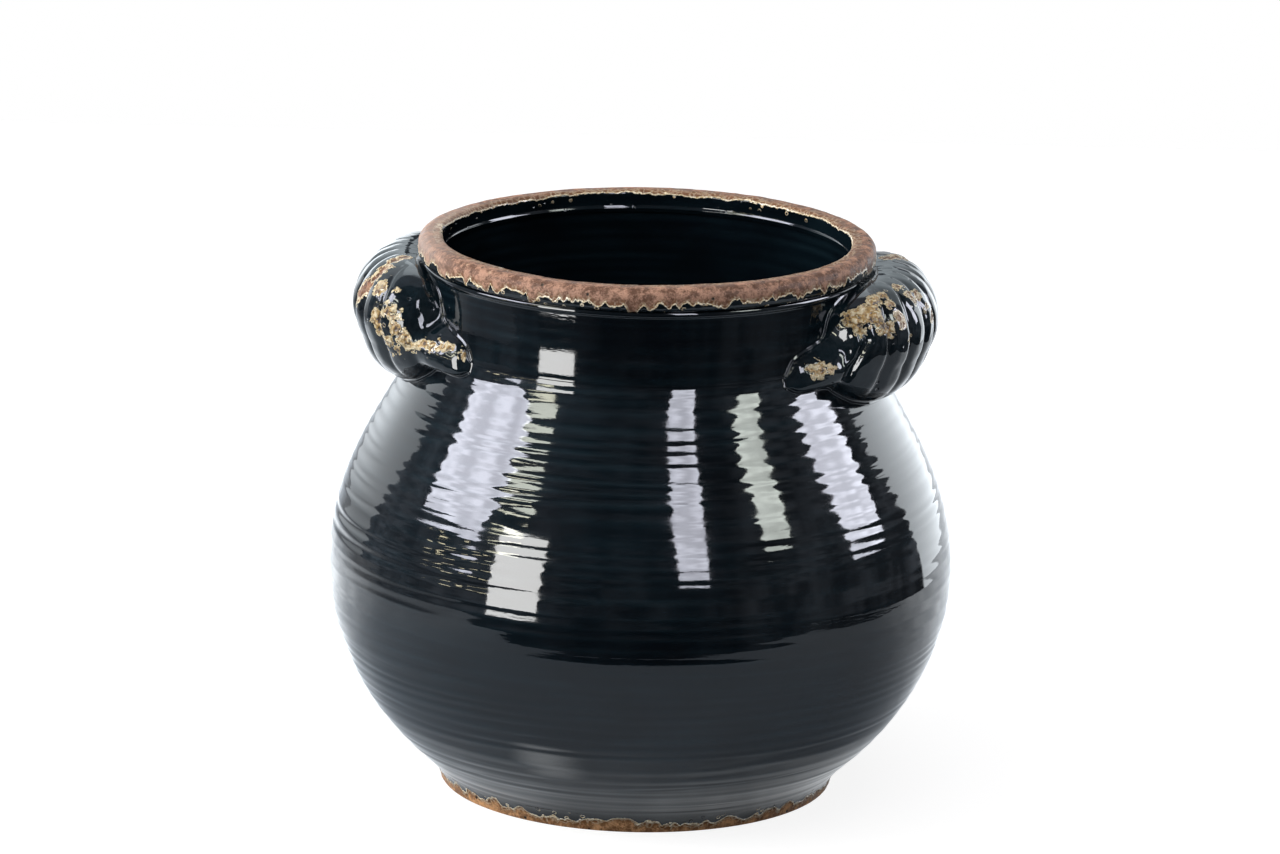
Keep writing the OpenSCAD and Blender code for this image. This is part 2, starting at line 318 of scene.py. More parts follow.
def turned_faces(rows, around, poles=False):
    """Faces of a turned form whose rows run up its outside and down its inside. Its two ends
    close on each other, or each on a pole of its own."""
    faces = []
    for i in range(rows - 1 if poles else rows):
        a, b = i * around, (i + 1) % rows * around
        faces += [
            (a + j, a + (j + 1) % around, b + (j + 1) % around, b + j) for j in range(around)
        ]
    if poles:
        first, last = rows * around, (rows - 1) * around
        faces += [(first, (j + 1) % around, j) for j in range(around)]
        faces += [(first + 1, last + j, last + (j + 1) % around) for j in range(around)]
    return faces


def arc(x, y, r, start, end, steps):
    a = np.radians(np.linspace(start, end, steps + 1))
    return pairs(x + r * np.cos(a), y + r * np.sin(a))


class Bench:
    """Sets out the nodes of one tree and joins them."""

    def __init__(self, tree):
        self.tree = tree

    def node(self, kind, values=None, **settings):
        made = self.tree.nodes.new(kind)
        made.location = (len(self.tree.nodes) % 12 * 190, len(self.tree.nodes) // 12 * -260)
        for key, value in settings.items():
            setattr(made, key, value)
        for key, value in (values or {}).items():
            self.feed(made.inputs[key], value)
        return made

    def out(self, kind, values=None, **settings):
        return self.node(kind, values, **settings).outputs[0]

    def feed(self, socket, value):
        if isinstance(value, bpy.types.NodeSocket):
            self.tree.links.new(value, socket)
        elif socket.type == "RGBA":
            socket.default_value = (*value, 1.0)
        else:
            socket.default_value = value

    def place(self):
        """Where a spot is on its piece, in metres."""
        return self.node("ShaderNodeTexCoord").outputs["Object"]

    def field(self, name):
        """A number that the piece carries at each of its points."""
        return self.node("ShaderNodeAttribute", attribute_name=name).outputs["Fac"]

    def math(self, operation, *values, clamp=False):
        numbered = dict(enumerate(values))
        return self.out("ShaderNodeMath", numbered, operation=operation, use_clamp=clamp)

    def add(self, first, *others):
        for value in others:
            first = self.math("ADD", first, value)
        return first

    def times(self, first, *others):
        for value in others:
            first = self.math("MULTIPLY", first, value)
        return first

    def less(self, first, second):
        return self.math("SUBTRACT", first, second)

    def most(self, first, second):
        return self.math("MAXIMUM", first, second)

    def raised(self, base, part, share):
        return self.math("MULTIPLY_ADD", part, share, base)

    def blend(self, share, first, second):
        """Goes from first to second as share goes from 0 to 1."""
        return self.raised(first, self.less(second, first), share)

    def vector(self, operation, *values):
        return self.out("ShaderNodeVectorMath", dict(enumerate(values)), operation=operation)

    def scaled(self, vector, share):
        return self.out("ShaderNodeVectorMath", {0: vector, "Scale": share}, operation="SCALE")

    def measure(self, operation, *values):
        made = self.node("ShaderNodeVectorMath", dict(enumerate(values)), operation=operation)
        return made.outputs["Value"]

    def axes(self, vector):
        return self.node("ShaderNodeSeparateXYZ", {0: vector}).outputs

    def noise(self, place, scale, detail=3.0, roughness=0.55):
        values = {"Vector": place, "Scale": scale, "Detail": detail, "Roughness": roughness}
        return self.out("ShaderNodeTexNoise", values)

    def cells(self, place, scale, feature="F1"):
        """A foam of cells: how far a spot is from its cell's middle or edge, and its colour."""
        values = {"Vector": place, "Scale": scale}
        return self.node("ShaderNodeTexVoronoi", values, feature=feature).outputs

    def lots(self, cell):
        """Three random numbers for each cell."""
        return self.node("ShaderNodeSeparateColor", {0: cell["Color"]}).outputs

    def ramp(self, value, low, high, out_low=0.0, out_high=1.0):
        values = {
            "Value": value, "From Min": low, "From Max": high, "To Min": out_low, "To Max": out_high,
        }
        return self.out("ShaderNodeMapRange", values, interpolation_type="SMOOTHSTEP")

    def mix(self, share, first, second):
        values = {"Factor": share, 6: first, 7: second}
        return self.node("ShaderNodeMix", values, data_type="RGBA").outputs[2]

    def bump(self, strength, distance, height):
        values = {"Strength": strength, "Distance": distance, "Height": height}
        return self.out("ShaderNodeBump", values)

    def light(self, tint, strength, kind="ShaderNodeEmission"):
        return self.out(kind, {"Color": tint, "Strength": strength})

    def matt(self, tint):
        return self.out("ShaderNodeBsdfDiffuse", {"Color": tint})

    def shade(self, kind, *values):
        return self.out(kind, dict(enumerate(values)))


# Colours are linear red, green and blue
POOLED_GLAZE = (0.0018, 0.003, 0.0046)
EVEN_GLAZE = (0.0024, 0.0056, 0.0084)
THIN_GLAZE = (0.0062, 0.014, 0.019)
GLAZE_IOR = 1.52


def clear_bench(owner):
    """Bench for the emptied tree of a material, a lamp or the world."""
    owner.use_nodes = True
    owner.node_tree.nodes.clear()
    return Bench(owner.node_tree)


def new_finish(name):
    material = bpy.data.materials.new(name)
    return material, clear_bench(material)


def finish_off(bench, **sockets):
    values = {key.replace("_", " "): value for key, value in sockets.items()}
    bench.node("ShaderNodeOutputMaterial", {0: bench.out("ShaderNodeBsdfPrincipled", values)})


def glaze_colours(bench, place, crest):
    """Blue-black glaze: darkest where it pools in the grooves, a little bluer over the crests."""
    lying = bench.vector("MULTIPLY", place, (1.0, 1.0, 2.4))
    cloud = bench.times(bench.noise(lying, 26.0, 4.0, 0.62), 0.6)
    cloud = bench.raised(cloud, bench.noise(place, 11.0, 2.0), 0.4)
    deep = bench.mix(bench.ramp(cloud, 0.38, 0.62), POOLED_GLAZE, EVEN_GLAZE)
    thinned = bench.times(crest, bench.ramp(cloud, 0.38, 0.66, 0.1, 0.9))
    return bench.mix(thinned, deep, THIN_GLAZE)


def make_dark_glaze():
    """The glossy glaze of the wall, on the crests and grooves of the throwing rings."""
    material, bench = new_finish("dark_glaze")
    place = bench.place()
    stretched = bench.vector("MULTIPLY", place, (1.0, 1.0, 7.0))
    streak = bench.noise(stretched, 55.0, 3.0)
    skin = bench.times(bench.noise(place, 620.0, 2.0), 0.35)
    skin = bench.add(skin, bench.noise(stretched, 130.0, 2.0))
    finish_off(
        bench, Base_Color=glaze_colours(bench, place, bench.field("crest")), IOR=GLAZE_IOR,
        Roughness=bench.ramp(streak, 0.3, 0.8, 0.03, 0.09), Normal=bench.bump(0.5, 0.00003, skin),
    )
    return material


def make_worn_glaze(name, clay_light, clay_dark, blotch, gold, edge_dark, edge_light, jag, foam):
    """Glaze that has crawled back from the clay: the field "bare" is the distance in mm
    inside the bare part, and "golden" is 1 where the clay is gilded. The edge of the glaze is a
    pale jagged line, and foam says how far it breaks up into burst bubbles with pale walls."""
    material, bench = new_finish(name)
    place, bare = bench.place(), bench.field("bare")
    crest, golden = bench.field("crest"), bench.field("golden")

    # The border of the clay, broken up by grain, by bubbles and by the relief of the gilt
    coarse = bench.less(bench.noise(place, 230.0, 3.0, 0.6), 0.5)
    fine = bench.less(bench.noise(place, 900.0, 3.0, 0.6), 0.5)
    bubbly = bench.vector("ADD", place, bench.scaled(coarse, 0.0016))
    cells = bench.cells(bubbly, 360.0)
    edges = bench.cells(bubbly, 360.0, "DISTANCE_TO_EDGE")
    pick = bench.lots(cells)
    jagged = bench.raised(bench.raised(bare, fine, jag * 1.7), coarse, jag * 4.0)
    relief = bench.raised(bench.noise(bubbly, 420.0, 1.5, 0.5), coarse, 0.6)
    broken = bench.less(pick[0], 0.5)
    scalloped = bench.times(broken, bench.ramp(golden, 0.0, 1.0, 2.2 * foam, 0.7 * foam))
    spiky = bench.times(bench.less(relief, 0.5), bench.times(golden, 6.0))
    jagged = bench.add(jagged, bench.add(scalloped, spiky))

    # Walls between burst bubbles, holes that they left, and rings still in the glaze
    walls = bench.times(
        bench.ramp(edges["Distance"], 0.06, 0.17, 1.0, 0.0),
        bench.ramp(jagged, -0.9, -0.4),
        bench.ramp(jagged, 0.8 + foam, 1.6 + foam, 1.0, 0.2 * foam),
        bench.ramp(golden, 0.0, 1.0, min(1.0, foam), 0.25 * foam),
    )
    hole = bench.times(
        bench.ramp(cells["Distance"], 0.12, 0.46, 1.0, 0.0),
        bench.ramp(pick[2], 0.3, 0.5), min(1.0, foam),
    )
    off_ring = bench.math("ABSOLUTE", bench.less(cells["Distance"], 0.3))
    bubble = bench.times(
        bench.ramp(off_ring, 0.05, 0.1, 1.0, 0.0),
        bench.ramp(bare, -4.0, -1.5), bench.ramp(pick[1], 0.8, 0.82),
    )
    cream = bench.most(bench.ramp(jagged, -0.7, -0.4), bubble)
    clay = bench.math("SUBTRACT", bench.ramp(jagged, -0.05, 0.18), walls, clamp=True)

    # Brown clay, with gilt, holes, pits and pale specks in it, and a painted sheen that makes the far
    # left of the lip and foot lighter
    mottle = bench.noise(place, 170.0, 5.0, 0.75)
    grain = bench.noise(place, 1300.0, 3.0, 0.6)
    tone = bench.add(bench.times(mottle, 0.75), bench.times(grain, 0.25))
    body = bench.mix(bench.ramp(tone, 0.43, 0.6), clay_dark, clay_light)
    body = bench.mix(bench.ramp(jagged, 0.3, 2.6), blotch, body)
    # Painted sheen: the clay at the far left of the pot is mixed towards a pale pinkish grey
    left = bench.axes(place)[0]
    left_sheen = bench.times(bench.ramp(left, -0.094, -0.07, 0.42, 0.0), bench.ramp(left, -0.105, -0.099))
    body = bench.mix(left_sheen, body, (0.52, 0.4, 0.34))
    # Painted shade darkens the low parts of the gilt's relief, and a painted highlight makes its high
    # parts cream
    gilt_shade = bench.mix(0.6, clay_dark, (0.03, 0.015, 0.006))
    gilt = bench.mix(bench.ramp(relief, 0.4, 0.5), gilt_shade, gold)
    gilt = bench.mix(bench.ramp(relief, 0.53, 0.63), gilt, bench.mix(0.75, gold, edge_light))
    body = bench.mix(golden, body, gilt)
    # Painted shade: the holes are darkened nearly to black
    body = bench.mix(bench.times(hole, 0.85), body, (0.035, 0.016, 0.008))
    specks = bench.cells(place, 210.0)
    sparse = bench.lots(specks)
    dot = bench.ramp(specks["Distance"], 0.1, 0.2, 1.0, 0.0)
    pit = bench.times(dot, bench.ramp(sparse[0], 0.74, 0.78))
    pale = bench.times(dot, bench.ramp(sparse[1], 0.74, 0.78))
    body = bench.mix(bench.times(pale, 0.6), body, (0.55, 0.38, 0.25))
    body = bench.mix(pit, body, (0.012, 0.009, 0.007))
    edge = bench.mix(bench.ramp(grain, 0.36, 0.6), edge_dark, edge_light)
    skin = bench.mix(cream, glaze_colours(bench, place, crest), edge)
    skin = bench.mix(clay, skin, body)

    # Gloss and relief
    gilded = bench.times(golden, clay)
    clay_rough = bench.raised(bench.ramp(tone, 0.35, 0.65, 0.36, 0.7), golden, -0.18)
    rough = bench.blend(clay, bench.ramp(cream, 0.0, 1.0, 0.045, 0.22), clay_rough)
    height = cream
    for part, rise in (
        (clay, -1.6), (pit, -1.2), (bench.times(tone, clay), 2.4),
        (bench.times(hole, clay), -1.5), (bench.times(relief, gilded), 6.0),
    ):
        height = bench.raised(height, part, rise)
    mirror = bench.raised(bench.ramp(clay, 0.0, 1.0, 0.5, 0.12), gilded, 0.3)
    finish_off(
        bench, Base_Color=skin, Roughness=rough, IOR=GLAZE_IOR, Specular_IOR_Level=mirror,
        Normal=bench.bump(1.0, 0.00025 + 0.0002 * foam, height),
    )
    return material


# Sizes of the throwing rings in metres, and the seed of their drift
RING_INPUTS = {
    "Ring height": 0.0052, "Ring depth": 0.00016, "Groove depth": 0.00014, "Wave height": 0.0005,
    "Trimmed ring height": 0.0026, "Trimmed ring depth": 0.00006, "Cut depth": 0.00026, "Seed": 4.0,
}
# Heights in metres of the two lines scored into the left of the belly
CUT_HEIGHTS = (0.1158, 0.1222)


def make_throwing_rings():
    """Tree that cuts the thrower's finger rings into a turned wall, where "ringed" allows it."""
    tree = bpy.data.node_groups.new("throwing_rings", "GeometryNodeTree")

    def socket(name, kind, in_out="INPUT"):
        return tree.interface.new_socket(name=name, in_out=in_out, socket_type="NodeSocket" + kind)

    socket("Geometry", "Geometry")
    socket("Finish", "Material")
    for name, value in RING_INPUTS.items():
        socket(name, "Float").default_value = value
    socket("Geometry", "Geometry", "OUTPUT")
    bench = Bench(tree)
    given = bench.node("NodeGroupInput").outputs
    spot = bench.out("GeometryNodeInputPosition")
    across, _, up = bench.axes(spot)
    shift = bench.out("ShaderNodeCombineXYZ", {2: given["Seed"]})

    def drift(around, upward, detail=2.0):
        """Noise that changes slowly round the pot and faster up its wall."""
        stretched = bench.vector("MULTIPLY", spot, (around, around, upward))
        stretched = bench.vector("ADD", stretched, shift)
        return bench.less(bench.noise(stretched, 1.0, detail), 0.5)

    def carried(name):
        return bench.out("GeometryNodeInputNamedAttribute", {"Name": name}, data_type="FLOAT")

    # One turn of a wave for each ring: sharp below, flat-sided at the belly and round above
    turn = bench.add(bench.math("DIVIDE", up, given["Ring height"]), bench.times(drift(3.0, 60.0), 2.4))
    round_wave = bench.math("COSINE", bench.times(turn, math.tau))
    sharp_wave = bench.times(bench.math("ARCSINE", bench.times(round_wave, 0.94)), 0.82)
    broad = bench.blend(bench.ramp(up, 0.076, 0.088, 1.0, 0.0), round_wave, sharp_wave)
    finger = bench.raised(1.0, bench.math("PINGPONG", turn, 0.5), -2.0)
    flat_wave = bench.raised(-1.0, bench.times(finger, finger), 2.0)
    at_belly = bench.times(bench.ramp(up, 0.078, 0.084), bench.ramp(up, 0.108, 0.116, 1.0, 0.0))
    broad = bench.blend(at_belly, broad, flat_wave)
    narrow_turn = bench.raised(bench.times(turn, 1.72), drift(2.0, 45.0), 3.0)
    narrow = bench.math("COSINE", bench.times(narrow_turn, math.tau))
    mixed = bench.ramp(drift(3.0, 38.0), -0.12, 0.12, 0.0, 0.28)
    wave = bench.raised(broad, narrow, mixed)
    swell = bench.ramp(drift(13.0, 90.0), -0.2, 0.2, 0.3, 1.5)
    wave = bench.times(wave, swell)
    ring = bench.times(wave, bench.times(given["Ring depth"], 0.5))

    # Short slits and slow waves
    slit = bench.ramp(bench.math("ABSOLUTE", drift(2.5, 150.0, 1.0)), 0.0, 0.035, -1.0, 0.0)
    slit = bench.times(slit, bench.ramp(drift(14.0, 40.0), -0.02, 0.1))
    slow = bench.times(drift(5.0, 48.0, 1.0), given["Wave height"])
    moved = bench.add(ring, bench.times(slit, given["Groove depth"]), bench.times(slow, 2.0))
    moved = bench.times(moved, carried("ringed"))

    # Fine rings above the foot, and the scored lines
    fine_turn = bench.math("DIVIDE", up, given["Trimmed ring height"])
    fine_turn = bench.raised(fine_turn, drift(2.0, 70.0), 1.6)
    fine = bench.math("COSINE", bench.times(fine_turn, math.tau))
    fine = bench.times(fine, bench.times(given["Trimmed ring depth"], 0.5))
    moved = bench.raised(moved, fine, carried("trimmed"))
    wavy_up = bench.raised(up, drift(6.0, 20.0), 0.003)
    on_left = bench.times(bench.ramp(across, -0.015, 0.0, 1.0, 0.0), given["Cut depth"])
    for cut in CUT_HEIGHTS:
        off_cut = bench.math("ABSOLUTE", bench.less(wavy_up, cut))
        moved = bench.raised(moved, bench.ramp(off_cut, 0.0002, 0.0026, -1.0, 0.0), on_left)

    outward = bench.vector("NORMALIZE", bench.vector("MULTIPLY", spot, (1.0, 1.0, 0.0)))
    values = {"Geometry": given["Geometry"], "Offset": bench.scaled(outward, moved)}
    shaped = bench.out("GeometryNodeSetPosition", values)
    values = {"Geometry": shaped, "Name": "crest", "Value": bench.ramp(wave, -0.6, 1.3)}
    stored = bench.out("GeometryNodeStoreNamedAttribute", values, data_type="FLOAT", domain="POINT")
    real = bench.out("GeometryNodeRealizeInstances", {0: stored})
    values = {"Geometry": real, "Material": given["Finish"]}
    bench.node("NodeGroupOutput", {0: bench.out("GeometryNodeSetMaterial", values)})
    return tree


def run_tree(obj, tree, **values):
    """Runs a geometry tree on a piece and keeps the result as the piece's plain mesh."""
    modifier = obj.modifiers.new(tree.name, "NODES")
    modifier.node_group = tree
    for item in tree.interface.items_tree:
        key = item.name.replace(" ", "_").lower()
        if item.in_out == "INPUT" and key in values:
            modifier[item.identifier] = values[key]
    bpy.context.view_layer.update()
    made = bpy.data.meshes.new_from_object(obj.evaluated_get(bpy.context.evaluated_depsgraph_get()))
    obj.modifiers.remove(modifier)
    obj.data = made
    obj.data.name = obj.name


def sharpen(obj):
    obj.data.set_sharp_from_angle(angle=math.radians(60))


def pot_body():
    around = 256
    outer_z = np.concatenate([
        np.linspace(GLAZED_FOOT_Z, TRIMMED_TOP_Z, 68)[:-1], np.linspace(TRIMMED_TOP_Z, NECK_Z, 230)
    ])
    inner_z = np.linspace(NECK_Z, FLOOR_Z, 64)
    under_r = np.array([30.0, 60.0, 74.0, 82.0])
    floor_r = np.array([78.0, 64.0, 44.0, 22.0])
    rows = np.concatenate([
        pairs(under_r, FOOT_H), pairs(coved_r(outer_z), outer_z),
        pairs(inside_r(inner_z), inner_z), pairs(floor_r, FLOOR_Z),
    ])
    outside = slice(4, 4 + len(outer_z))
    inside = slice(outside.stop, outside.stop + len(inner_z))
    ringed, trimmed = np.zeros(len(rows)), np.zeros(len(rows))
    ringed[outside] = (
        smooth_step(GLAZED_FOOT_Z, FOOT_H + 2, outer_z) * smooth_step(NECK_Z, NECK_Z - 0.8, outer_z)
        * np.interp(outer_z, RING_HEIGHTS, RING_STRENGTHS)
    )
    ringed[inside] = (
        0.8 * smooth_step(NECK_Z, NECK_Z - 3, inner_z) * smooth_step(FLOOR_Z, FLOOR_Z + 6, inner_z)
    )
    trimmed[outside] = (
        smooth_step(GLAZED_FOOT_Z, GLAZED_FOOT_Z + 2, outer_z)
        * smooth_step(TRIMMED_TOP_Z, TRIMMED_FADE_Z, outer_z)
    )
    poles = [[0, 0, FOOT_H], [0, 0, FLOOR_Z]]
    points = np.concatenate([turned(rows, around).reshape(-1, 3), poles])
    ringed, trimmed = (np.append(np.repeat(field, around), [0, 0]) for field in (ringed, trimmed))
    faces = turned_faces(len(rows), around, poles=True)
    body = piece("pot_body_wall", points, faces, ringed=ringed, trimmed=trimmed)
    run_tree(body, rings, finish=dark_glaze)
    sharpen(body)
    return body


def neck_collar():
    around = 256
    bead_z = LIP_Z - BEAD_H
    outer_z = np.linspace(NECK_Z, bead_z, 44)
    bead = arc(0, 0, 1, -90, 90, 10)[1:]
    inner_z = np.linspace(LIP_Z, NECK_Z, 16)
    rows = np.concatenate([
        pairs(wall_r(outer_z) + waist(outer_z), outer_z),
        pairs(NECK_R + BEAD_OUT * bead[:, 0], LIP_Z - BEAD_H / 2 * (1 - bead[:, 1])),
        pairs(NECK_R - WALL, inner_z),
    ])
    ringed = np.concatenate([
        smooth_step(NECK_Z, NECK_Z + 0.8, outer_z) * smooth_step(bead_z, bead_z - 2, outer_z)
        * between(FAINT_SHARE, 1, smooth_step(FAINT_TOP_Z, FAINT_LOW_Z, outer_z)),
        np.zeros(len(bead)),
        0.8 * smooth_step(LIP_Z, LIP_Z - 3, inner_z) * smooth_step(NECK_Z, NECK_Z + 3, inner_z),
    ])
    faces = turned_faces(len(rows), around)
    neck = piece("neck_collar_wall", turned(rows, around), faces, ringed=np.repeat(ringed, around))
    run_tree(neck, rings, finish=dark_glaze, ring_depth=0.00003)
    sharpen(neck)
    return neck


def crawl(bare):
    """How far the surface stands out where the glaze ends."""
    rolled = GLAZE_ROLL * np.exp(-(((bare + 0.5) / 0.55) ** 2))
    return rolled - CLAY_DROP * smooth_step(-0.3, 0.4, bare)


def rim_lip():
    """The rolled lip, bare and brown on top, with the glaze drawn back in a jagged line."""
    around = 1080
    inner_ridge = [
        [MOUTH_R - 0.25, 232.9], [MOUTH_R - 0.42, 233.2], [MOUTH_R - 0.45, 233.5],
        [MOUTH_R - 0.3, 233.8], [MOUTH_R - 0.08, 234.1],
    ]
    corners = [
        arc(MOUTH_R + 1.4, LIP_Z + 1.4, 1.4, 270, 180, 5), inner_ridge,
        [[MOUTH_R, z] for z in (235, 236.4, 237.8)],
        arc(MOUTH_R + 2.2, POT_H - 2.2, 2.2, 180, 90, 7), [[r, POT_H] for r in (91.0, 92.0, 93.0)],
        arc(LIP_R - 4.6, POT_H - 4.6, 4.6, 90, 0, 13), [[LIP_R, z] for z in (236.2, 235.4, 234.8)],
        arc(LIP_R - 3, LIP_Z + 3, 3, 0, -90, 9), [[r, LIP_Z] for r in (93.8, 92.2, 90.6)],
    ]
    rows = np.concatenate([np.asarray(c, float) for c in corners])[::-1]
    rows = rows[np.r_[True, np.hypot(*np.diff(rows, axis=0).T) > 0.05]]
    middle = np.array([93.0, 236.3])
    points = turned(rows, around)
    normal = np.gradient(rows, axis=0)
    normal = pairs(-normal[:, 1], normal[:, 0])
    normal *= -np.sign(np.sum(normal * (middle - rows), 1, keepdims=True))
    normal /= np.linalg.norm(normal, axis=1, keepdims=True)

    # Distance in mm from the two borders of the bare clay, measured over the section
    flat = points * [1, 1, 0]
    low_edge = 236.2 + 0.7 * lumps(flat, 26, 11) - 4.6 * np.abs(lumps(flat, 8.5, 12, 3))
    low_edge = low_edge + 0.6 * lumps(flat, 2.4, 17, 2)
    high_edge = 240.4 + 0.5 * lumps(flat, 22, 13) + 0.6 * lumps(flat, 5, 14, 4)
    outside = rows[:, :1] > 92
    bare = np.where(outside, points[..., 2] - low_edge, points[..., 2] - high_edge)
    bare = np.minimum(bare, BARE)
    pits = pit_depth(points, rng=np.random.default_rng(21), count=70)
    out = crawl(bare) + 0.16 * lumps(points, 9, 15) * smooth_step(-0.5, 1, bare) - pits
    points = points + turned(normal, around) * out[..., None]
    points[..., 2] += 0.25 * lumps(flat, 60, 16, 1)
    faces = turned_faces(len(rows), around)
    lip = piece("rim_lip_roll", points, faces, bare=bare, crest=np.full(bare.shape, 0.5))
    lip.data.materials.append(worn_lip)
    return lip


def pit_depth(points, rng, count):
    """Small holes that burst bubbles left in the lip."""
    depth = np.zeros(points.shape[:-1])
    for _ in range(count):
        row, column = rng.integers(8, points.shape[0] - 8), rng.integers(points.shape[1])
        radius = rng.uniform(0.5, 1.1)
        columns = np.arange(column - 5, column + 6) % points.shape[1]
        patch = points[:, columns]
        distance = np.linalg.norm(patch - points[row, column], axis=-1)
        dent = 0.35 * radius * np.clip(1 - (distance / radius) ** 2, 0, 1)
        depth[:, columns] = np.maximum(depth[:, columns], dent)
    return depth


def foot_ring():
    """The foot: glazed above, bare and brown where it stands."""
    around = 900
    outer_z = np.linspace(FOOT_ROUND, GLAZED_FOOT_Z, 24)[1:]
    inner_r = FOOT_R - FOOT_W
    standing = np.interp(outer_z, [FOOT_ROUND, COVE_LOW_Z], [FOOT_R, FOOT_R + COVE_LOW_OUT])
    rows = np.concatenate([
        arc(FOOT_R - FOOT_ROUND, FOOT_ROUND, FOOT_ROUND, 270, 360, 5),
        pairs(np.where(outer_z < COVE_LOW_Z, standing, coved_r(outer_z)), outer_z),
        [[86.0, GLAZED_FOOT_Z], [83.0, FOOT_H], [78.0, FOOT_H]],
        [[inner_r, FOOT_H], [inner_r, 6.5], [inner_r, 4.0]],
        arc(inner_r + FOOT_ROUND, FOOT_ROUND, FOOT_ROUND, 180, 270, 5), [[78.0, 0.0], [81.0, 0.0]],
    ])
    points = turned(rows, around)
    flat = points * [1, 1, 0]
    edge = 3.4 + 0.9 * lumps(flat, 24, 31) + 3.4 * np.abs(lumps(flat, 7.5, 32, 2))
    edge = edge + 0.4 * lumps(flat, 2.6, 34, 2)
    bare = np.where(rows[:, :1] > 82.5, edge - points[..., 2], 3.0)
    bare = np.clip(bare, -6, 3)
    out = (crawl(bare) + 0.12 * lumps(points, 8, 33)) * (rows[:, :1] > FOOT_R - 0.5)
    out = out * smooth_step(GLAZED_FOOT_Z, GLAZED_FOOT_Z - 1, rows[:, 1:])
    radial = turned(np.array([[1.0, 0.0]]), around)
    points = points + radial * out[..., None]
    faces = turned_faces(len(rows), around)
    foot = piece("foot_ring_band", points, faces, bare=bare, crest=np.full(bare.shape, 0.4))
    foot.data.materials.append(foot_clay)
    sharpen(foot)
    return foot


def grid_normals(points):
    """Outward normals of a grid of points."""
    along, across = np.gradient(points, axis=0), np.gradient(points, axis=1)
    normal = np.cross(across, along)
    return normal / (np.linalg.norm(normal, axis=-1, keepdims=True) + 1e-9)


def edge_loop(grid):
    """The numbers at the edge of a grid, walked once round."""
    return np.concatenate([grid[:, 0], grid[-1, 1:], grid[-2::-1, -1], grid[0, -2:0:-1]])


def quads(ids, flip=False):
    a, b, c, d = ids[:-1, :-1], ids[1:, :-1], ids[1:, 1:], ids[:-1, 1:]
    stack = np.stack([a, b, c, d] if flip else [a, d, c, b], -1)
    return stack.reshape(-1, 4)


def fillet_rings(middle, edge_angle, edge_z):
    """Rings of points in place on the wall, each further from the edge of a handle."""
    flat = pairs(edge_angle * NECK_R, edge_z)
    tangent = np.roll(flat, -2, 0) - np.roll(flat, 2, 0)
    away = pairs(-tangent[:, 1], tangent[:, 0])
    area = np.sum(flat[:, 0] * np.roll(flat[:, 1], -1) - np.roll(flat[:, 0], -1) * flat[:, 1])
    away *= -np.sign(area) / (np.linalg.norm(away, axis=1, keepdims=True) + 1e-9)
    for width, thick in FILLET:
        place = flat + away * width
        place[:, 1] = np.minimum(place[:, 1], LIP_Z - 0.1)
        yield polar(wall_r(place[:, 1]) + thick, middle + place[:, 0] / NECK_R, place[:, 1])


def handle(name, middle, front_half, rear_half, front, seed):
    """One handle, luted to the neck with a fillet of glaze round its edge. Each half is its worn
    spots and its hollows; front is 1 where the viewer's half has growing angles, or else -1."""
    share = np.linspace(-1, 1, HANDLE_COLUMNS)[:, None]
    turn = np.degrees(np.linspace(np.pi / 2, -np.pi / 2, HANDLE_ROWS))[None, :]
    angle, z, t, rise, crest = handle_face(share, turn)
    face = polar(wall_r(z) + t, middle + angle, z + rise)
    inner = np.sin(np.linspace(0, np.pi, HANDLE_ROWS))[None, :] ** 0.5
    inner = inner * smooth_step(1, 0.94, np.abs(share))
    soft = 0.25 * lumps(face, 19, seed) + 0.1 * lumps(face, 5, seed + 1, 2)
    bare = np.full(z.shape, GLAZED)
    for half, (spots, hollows) in ((front, front_half), (-front, rear_half)):
        for line, depth, width in hollows:
            soft = soft - depth * np.exp(-((along(face, middle, line, half) / width) ** 2))
        bare = np.maximum(bare, worn_field(face, middle, spots, half))
    bare = bare + 1.5 * lumps(face, 4.2, seed + 2, 3)
    bare = np.clip(bare, GLAZED, BARE) - 6 * smooth_step(0.3, 0.0, inner)
    face = face + grid_normals(face) * ((soft + crawl(bare)) * inner)[..., None]

    # The face, the rings of its fillet, and a back that lies in the wall
    grid = np.arange(z.size).reshape(z.shape)
    loop = edge_loop(grid)
    points, skirt = [face.reshape(-1, 3)], [loop]
    for ring in fillet_rings(middle, angle.ravel()[loop], z.ravel()[loop]):
        skirt.append(sum(len(p) for p in points) + np.arange(len(loop)))
        points.append(ring)
    behind = sum(len(p) for p in points) + grid.ravel()
    behind[loop] = skirt[-1]
    points.append(polar(wall_r(z) - BURIED, middle + angle, z).reshape(-1, 3))
    faces = [quads(grid), quads(behind.reshape(grid.shape), flip=True)]
    for upper, lower in zip(skirt[:-1], skirt[1:]):
        faces.append(np.stack([upper, np.roll(upper, -1), np.roll(lower, -1), lower], 1))
    faces, every = np.concatenate(faces), np.concatenate(points)
    used = np.unique(faces)
    renumber = np.full(len(every), -1)
    renumber[used] = np.arange(len(used))

    def spread(values, elsewhere):
        """One number for each point that is used: its own on the face, and one elsewhere."""
        own = np.broadcast_to(values, z.shape).ravel()
        return np.concatenate([own, np.full(len(every) - len(own), elsewhere)])[used]

    made = piece(
        name, every[used], renumber[faces].tolist(), bare=spread(bare, GLAZED),
        crest=spread(crest, 0.2), golden=spread(smooth_step(0.42, 0.52, np.abs(share)), 0.0),
    )
    made.data.materials.append(worn_handle)
    return made


def on_face(share, turn, middle):
    """One place on a handle."""
    angle, z, t, rise, _ = handle_face(np.array(share), np.array(float(turn)))
    return polar(wall_r(z) + t, middle + angle, z + rise)


